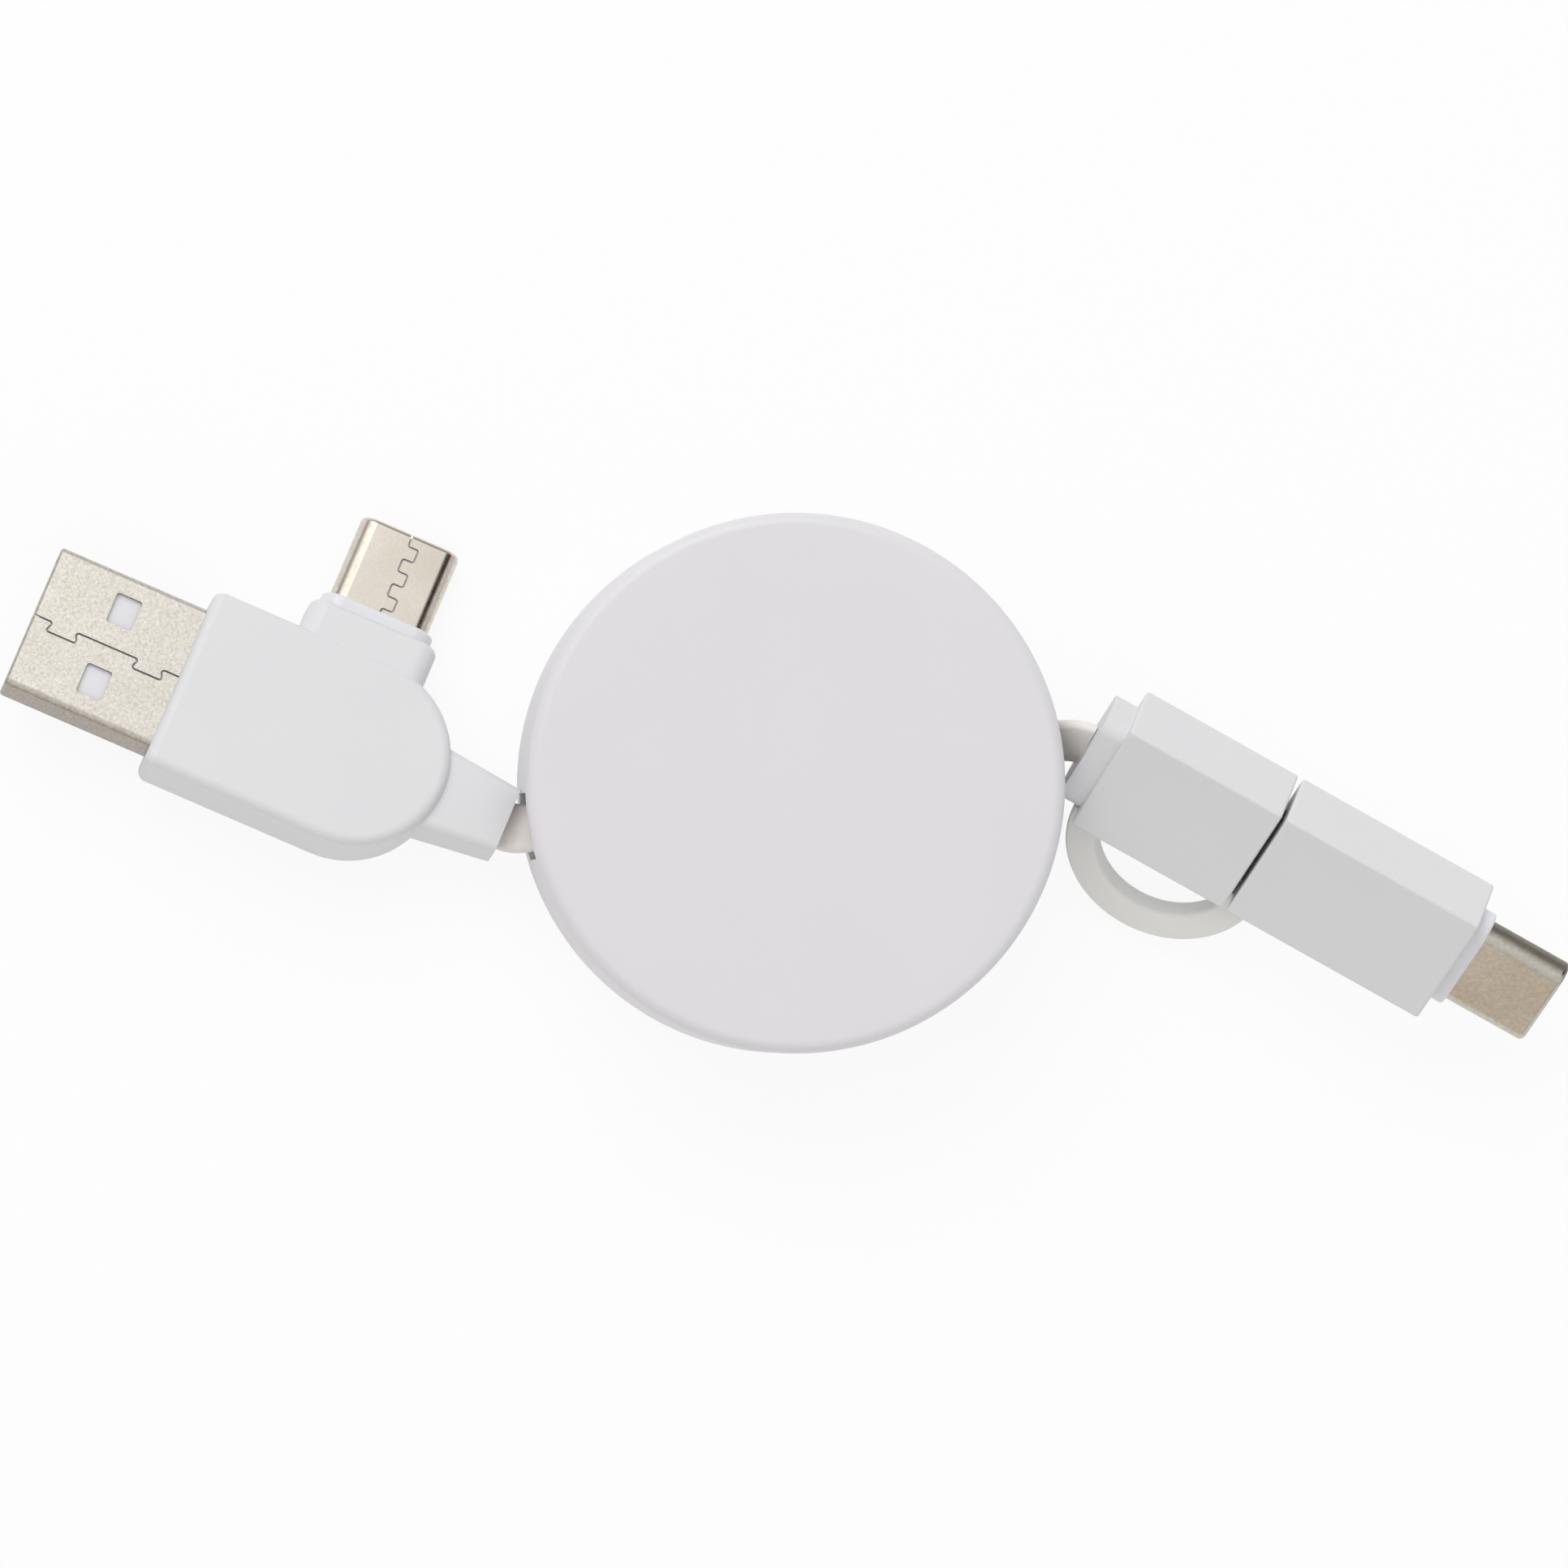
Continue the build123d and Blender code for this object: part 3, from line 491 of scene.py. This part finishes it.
def plated_sheet(name, bright, dull, painted_shade, flat, roughness, grain, depth, blotch, clouded=0.4,
                 painted_shade_at=0.0, painted_shade_none=0.75, painted_shade_full=0.4):
    """Plated or bare sheet metal: a fine matt grain from the plating bath or the rolls, wider faint
    blotches where it was handled, and a painted shade: a darker tone multiplied in by the surface's
    direction, for the shade and dark reflections along bends and rounded edges. The painted shade depends
    on c, the cosine between the surface and the flat face whose normal is given, without its sign: none
    where |c - painted_shade_at| is above painted_shade_none, full where it is below painted_shade_full.
    Grain width and depth and the blotches' width are in millimetres, and clouded is the blotches' strength
    against the grain's."""
    made, tree = new_material(name)
    coordinates = add(tree, "ShaderNodeTexCoord")
    place = coordinates.outputs["Object"]
    grit = add(tree, "ShaderNodeTexNoise", {
        "Vector": place, "Scale": per_metre(grain), "Detail": 4.0, "Roughness": 0.65})
    cloud = add(tree, "ShaderNodeTexNoise", {"Vector": place, "Scale": per_metre(blotch), "Detail": 3.0})
    both = add(tree, "ShaderNodeMath", {
        0: cloud.outputs["Fac"], 1: clouded, 2: grit.outputs["Fac"]}, operation="MULTIPLY_ADD")
    share = add(tree, "ShaderNodeMapRange", {
        "Value": both.outputs["Value"], "From Min": noise_low + clouded / 2,
        "From Max": noise_high + clouded / 2})
    tint = add(tree, "ShaderNodeMix", {
        "Factor": share.outputs["Result"], "A": linear(dull), "B": linear(bright)}, data_type="RGBA")
    # Painted shade: by the surface's direction against the flat face, the tint is multiplied towards the
    # darker tone given for shade and dark reflections on rounded edges
    facing = add(tree, "ShaderNodeVectorMath", {
        0: coordinates.outputs["Normal"], 1: flat}, operation="DOT_PRODUCT")
    cosine = add(tree, "ShaderNodeMath", {0: facing.outputs["Value"]}, operation="ABSOLUTE")
    beside = add(tree, "ShaderNodeMath", {0: cosine.outputs["Value"], 1: painted_shade_at}, operation="SUBTRACT")
    apart = add(tree, "ShaderNodeMath", {0: beside.outputs["Value"]}, operation="ABSOLUTE")
    painted_shade_mask = add(tree, "ShaderNodeMapRange", {
        "Value": apart.outputs["Value"], "From Min": painted_shade_none, "From Max": painted_shade_full})
    whole = add(tree, "ShaderNodeMix", {
        "Factor": painted_shade_mask.outputs["Result"], "A": tint.outputs["Result"], "B": linear(painted_shade)},
        data_type="RGBA", blend_type="MULTIPLY")
    gloss = add(tree, "ShaderNodeMapRange", {
        "Value": grit.outputs["Fac"], "From Min": noise_low, "From Max": noise_high,
        "To Min": roughness + 0.08, "To Max": roughness - 0.06})
    bump = add(tree, "ShaderNodeBump", {
        "Height": grit.outputs["Fac"], "Strength": 0.5, "Distance": depth * MM})
    shader = add(tree, "ShaderNodeBsdfPrincipled", {
        "Base Color": whole.outputs["Result"], "Roughness": gloss.outputs["Result"],
        "Normal": bump.outputs["Normal"], "Metallic": 1.0})
    add(tree, "ShaderNodeOutputMaterial", {"Surface": shader.outputs["BSDF"]})
    return made


# The real grains of moulds, plating and rolled sheet are well under 0.1 mm and too fine to show, so they
# are all drawn coarser than they are

# ABS of the reel, faintly violet white with a low even gloss
case_abs = moulded_plastic(
    "white_abs_moulded", "#E4E2E5", "#E1DFE3", roughness=0.42, grain=0.35, depth=0.0003, uneven=0.006)
# Satin overmould of the plugs, a neutral white
plug_pvc = moulded_plastic(
    "white_pvc_overmoulded", "#E3E3E4", "#E0E0E2", roughness=0.5, grain=0.3, depth=0.006)
# Soft elastomer of the loop, the dullest of the whites
loop_tpe = moulded_plastic(
    "white_tpe_moulded", "#EDEDEA", "#E9E9E6", roughness=0.58, grain=0.3, depth=0.006)
# Sheath of the flat cable, a warmer cream with a faint unevenness from the extruder
sheath_tpe = moulded_plastic(
    "white_tpe_extruded", "#F2EDE8", "#ECE7E1", roughness=0.5, grain=0.4, depth=0.012)
# Hard inner mouldings and connector blocks, whiter and glossier than what covers them
block_nylon = moulded_plastic(
    "white_nylon_moulded", "#E8E8EC", "#E4E4E8", roughness=0.36, grain=0.3, depth=0.006)
# Acetal of the spool, left in its natural greyish cream and slightly waxy
spool_pom = moulded_plastic(
    "natural_acetal_moulded", "#DEDDD8", "#D8D7D1", roughness=0.4, grain=0.4, depth=0.01)
# Circuit boards, green solder mask over laminate, with the weave's faint unevenness in the gloss
board_fr4 = moulded_plastic(
    "green_laminate_masked", "#1F5A38", "#1A4F31", roughness=0.35, grain=0.5, depth=0.006)

left_flat = plug_axes(left_heading, left_roll)[2]
right_flat = plug_axes(right_heading, right_roll)[2]
# Large plug shell, warm grey nickel with a coarse matt sparkle, its sides darkened by a painted shade
# for the shaded ground they mirror
shell_matt = plated_sheet(
    "nickel_plated_steel_matt", "#DDD9D3", "#B9B2A6", "#C1BAB4", left_flat,
    roughness=0.32, grain=0.24, depth=0.012, blotch=3.0, clouded=0.12)
# Small shell of the left plug, smoother and brighter, with a painted shade in a narrow line where its
# rounded edge starts, which keeps the key light's mirror image there from burning out
shell_left = plated_sheet(
    "nickel_plated_steel_bright", "#E0D9CF", "#CDC4B8", "#C9C5C0", left_flat,
    roughness=0.24, grain=0.35, depth=0.004, blotch=4.0, painted_shade_at=0.938, painted_shade_none=0.061, painted_shade_full=0.05)
# Small shell of the adapter, as smooth; its colour is set darker than the left shell's as painted shade
# for its tilted face, and its rounded edges get a painted shade for their dark reflections
shell_right = plated_sheet(
    "nickel_plated_steel_drawn", "#CFCAC0", "#BBB4A7", "#A29F9C", right_flat,
    roughness=0.24, grain=0.35, depth=0.004, blotch=4.0)
# The plug that the adapter covers has a dull plating painted dark, a painted shade that leaves the gap in
# front of it dark
shell_painted_dark = plated_sheet(
    "tin_plated_steel_dull_painted_dark", "#8A847B", "#767069", "#D4D1CE", right_flat,
    roughness=0.6, grain=0.3, depth=0.006, blotch=3.0)
# Contacts, bronze with a thin gold flash, yellow and quite glossy, their side faces a little darker from a
# faint painted shade
contact_gold = plated_sheet(
    "gold_flashed_bronze", "#E8C878", "#D8B45E", "#F4F2EE", left_flat,
    roughness=0.25, grain=0.2, depth=0.002, blotch=2.0)
# Spring and ball, bare steel with a cool grey shine, their upright faces a little darker from a faint
# painted shade
spring_steel = plated_sheet(
    "spring_steel_rolled", "#C4C6CA", "#A9ABAF", "#F0F0F0", (0, 0, 1),
    roughness=0.28, grain=0.2, depth=0.003, blotch=2.0)

finishes = {
    case_abs: ("top_cover", "bottom_cover"),
    plug_pvc: ("left_plug_body", "right_plug_body", "right_strain_relief", "adapter_body"),
    loop_tpe: ("tether_strap",),
    sheath_tpe: ("left_lead", "right_lead", "cable_winding"),
    block_nylon: ("left_inner_mould", "adapter_inner_mould", "usb_a_insulator", "left_usb_c_insulator",
                  "adapter_usb_c_insulator", "micro_b_insulator", "adapter_socket_tongue"),
    shell_matt: ("usb_a_shell",),
    shell_left: ("left_usb_c_shell",),
    shell_right: ("adapter_usb_c_shell",),
    shell_painted_dark: ("micro_b_shell", "adapter_socket_shell"),
    contact_gold: ("usb_a_contacts", "left_usb_c_contacts", "adapter_usb_c_contacts", "micro_b_contacts"),
    spring_steel: ("spiral_spring", "detent_ball"),
    spool_pom: ("spool",),
    board_fr4: ("left_board", "adapter_board"),
}

# The model's own solids: their corners are joined, split again at true edges, and shaded by face size
true_edge = radians(38)
for finish, names in finishes.items():
    for name in names:
        solid = nodes[name]
        solid.data.materials.clear()
        solid.data.materials.append(finish)
        join = solid.modifiers.new("join", "WELD")
        join.merge_threshold = 1e-6
        split = solid.modifiers.new("split", "EDGE_SPLIT")
        split.split_angle = true_edge
        even = solid.modifiers.new("even", "WEIGHTED_NORMAL")
        even.weight = 50


def finish_piece(piece, material, node, body=None):
    """Gives a new piece its material and slot, and puts it in the place of the model's solid."""
    piece.data.materials.append(material)
    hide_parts(node)
    if body:
        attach(piece, body)
    return piece


finish_piece(reel_lid(), case_abs, "top_cover", "housing")
finish_piece(reel_tray(), case_abs, "bottom_cover", "housing")

left_ribbon = ribbon_lead("left_ribbon", -1, left_lead_tilt, left_origin, left_heading, left_roll)
right_ribbon = ribbon_lead("right_ribbon", 1, right_lead_tilt, right_origin, right_heading, right_roll)
finish_piece(left_ribbon, sheath_tpe, "left_lead")
finish_piece(right_ribbon, sheath_tpe, "right_lead")
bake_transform(left_ribbon)
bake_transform(right_ribbon)

loop = finish_piece(tether_loop(), loop_tpe, "tether_strap")
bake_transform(loop)


# Stage, in metres: the photograph's axes on the table are turned from the model's
photo_turn = radians(-9.1)
photo_right = Vector((cos(photo_turn), sin(photo_turn), 0))
photo_up = Vector((-sin(photo_turn), cos(photo_turn), 0))
above = Vector((0, 0, 1))


def in_photo(right, up, height):
    """Vector of so much to the photograph's right, towards its top, and up from the table."""
    return photo_right * right + photo_up * up + above * height


def paper_sweep():
    """White paper that the part lies on: a matt white that takes the part's shadow, mixed for the camera
    and for mirrors with an even glow, so that the ground looks nearly as white as the photograph's."""
    glow_share = 0.88
    made, tree = new_material("white_paper_sweep")
    ray = add(tree, "ShaderNodeLightPath")
    seen = add(tree, "ShaderNodeMath", {
        0: ray.outputs["Is Camera Ray"], 1: ray.outputs["Is Glossy Ray"]}, operation="MAXIMUM")
    seen = add(tree, "ShaderNodeMath", {
        0: seen.outputs["Value"], 1: ray.outputs["Is Transmission Ray"]}, operation="MAXIMUM")
    share = add(tree, "ShaderNodeMath", {0: seen.outputs["Value"], 1: glow_share}, operation="MULTIPLY")
    matt = add(tree, "ShaderNodeBsdfDiffuse", {"Color": linear("#F8F8F8")})
    glow = add(tree, "ShaderNodeEmission", {"Color": linear("#FFFFFF"), "Strength": 1.0})
    mixed = add(tree, "ShaderNodeMixShader", {
        0: share.outputs["Value"], 1: matt.outputs["BSDF"], 2: glow.outputs["Emission"]})
    add(tree, "ShaderNodeOutputMaterial", {"Surface": mixed.outputs["Shader"]})
    return made


half_table = 3.0
table_gap = 0.02 * MM
table_mesh = bpy.data.meshes.new("table")
table_mesh.from_pydata(
    [(-half_table, -half_table, 0), (half_table, -half_table, 0), (half_table, half_table, 0),
     (-half_table, half_table, 0)], [], [(0, 1, 2, 3)])
table_mesh.materials.append(paper_sweep())
table = bpy.data.objects.new("table", table_mesh)
bpy.context.scene.collection.objects.link(table)
table.location.z = -table_gap

# Room: brightest overhead and towards the photograph's right, darkest low on its left. On the right stands
# a black flag, which the bright shells mirror as a dark line along their rounded edges
room_dark = 0.32
room_bright = 0.88
dark_from = -0.3
bright_from = 0.85
lightward = in_photo(0.31, -0.03, 0.92)
flag_azimuth = radians(10)
flag_height = radians(42)
flag_reach = radians(16)
flag_edge = radians(7)
flag_left = 0.02
flagward = in_photo(
    cos(flag_azimuth) * cos(flag_height), sin(flag_azimuth) * cos(flag_height), sin(flag_height)
)

world = bpy.data.worlds.new("studio")
bpy.context.scene.world = world
world.use_nodes = True
tree = world.node_tree
tree.nodes.clear()
direction = add(tree, "ShaderNodeTexCoord").outputs["Generated"]
towards = add(tree, "ShaderNodeVectorMath", {0: direction, 1: lightward}, operation="DOT_PRODUCT")
level = add(tree, "ShaderNodeMapRange", {
    "Value": towards.outputs["Value"], "From Min": dark_from, "From Max": bright_from,
    "To Min": room_dark, "To Max": room_bright})
near_flag = add(tree, "ShaderNodeVectorMath", {0: direction, 1: flagward}, operation="DOT_PRODUCT")
open_share = add(tree, "ShaderNodeMapRange", {
    "Value": near_flag.outputs["Value"], "From Min": cos(flag_reach + flag_edge), "From Max": cos(flag_reach),
    "To Min": 1.0, "To Max": flag_left}, interpolation_type="SMOOTHSTEP")
strength = add(tree, "ShaderNodeMath", {
    0: level.outputs["Result"], 1: open_share.outputs["Result"]}, operation="MULTIPLY")
sky = add(tree, "ShaderNodeBackground", {"Color": linear("#FFFFFF"), "Strength": strength.outputs["Value"]})
add(tree, "ShaderNodeOutputWorld", {"Surface": sky.outputs["Background"]})


def soft_light(name, place, size, power, colour):
    """Round soft box aimed at the reel."""
    data = bpy.data.lights.new(name, "AREA")
    data.shape = "DISK"
    data.size = size
    data.energy = power
    data.color = linear(colour)[:3]
    lamp = bpy.data.objects.new(name, data)
    bpy.context.scene.collection.objects.link(lamp)
    lamp.location = place
    lamp.rotation_mode = "QUATERNION"
    lamp.rotation_quaternion = (-place).to_track_quat("-Z", "Y")


soft_light("key_box", in_photo(-0.33, 0.91, 1.0), size=1.2, power=7.7, colour="#FFFFFF")
soft_light("warm_card", in_photo(-0.42, -0.88, 0.2), size=0.6, power=0.28, colour="#FFD9A6")

# Camera: about 990 mm from a point just above the reel's base, leaning towards the photograph's left and
# bottom. That point lies at aim_column and aim_row of the photograph, in pixels from its top left corner
lean_left = radians(4.664)
lean_down = radians(0.982)
distance = 0.98975
aim = Vector((0, 0, 6.0 * MM))
aim_column = 972.0
aim_row = 966.7
image_side = 1932.0
pixels_per_metre = 15611.0
back = in_photo(-tan(lean_left), -tan(lean_down), 1.0).normalized()
side = (photo_right - photo_right.dot(back) * back).normalized()
turned = Matrix((side, back.cross(side), back)).transposed().to_4x4()
lens = bpy.data.cameras.new("camera")
lens.sensor_width = 36.0
lens.lens = lens.sensor_width * pixels_per_metre * distance / image_side
lens.shift_x = (image_side / 2 - aim_column) / image_side
lens.shift_y = (aim_row - image_side / 2) / image_side
lens.clip_start = 0.01
lens.clip_end = 20.0
camera = bpy.data.objects.new("camera", lens)
bpy.context.scene.collection.objects.link(camera)
camera.matrix_world = Matrix.Translation(aim + back * distance) @ turned
bpy.context.scene.camera = camera
bpy.context.scene.view_settings.view_transform = "Standard"
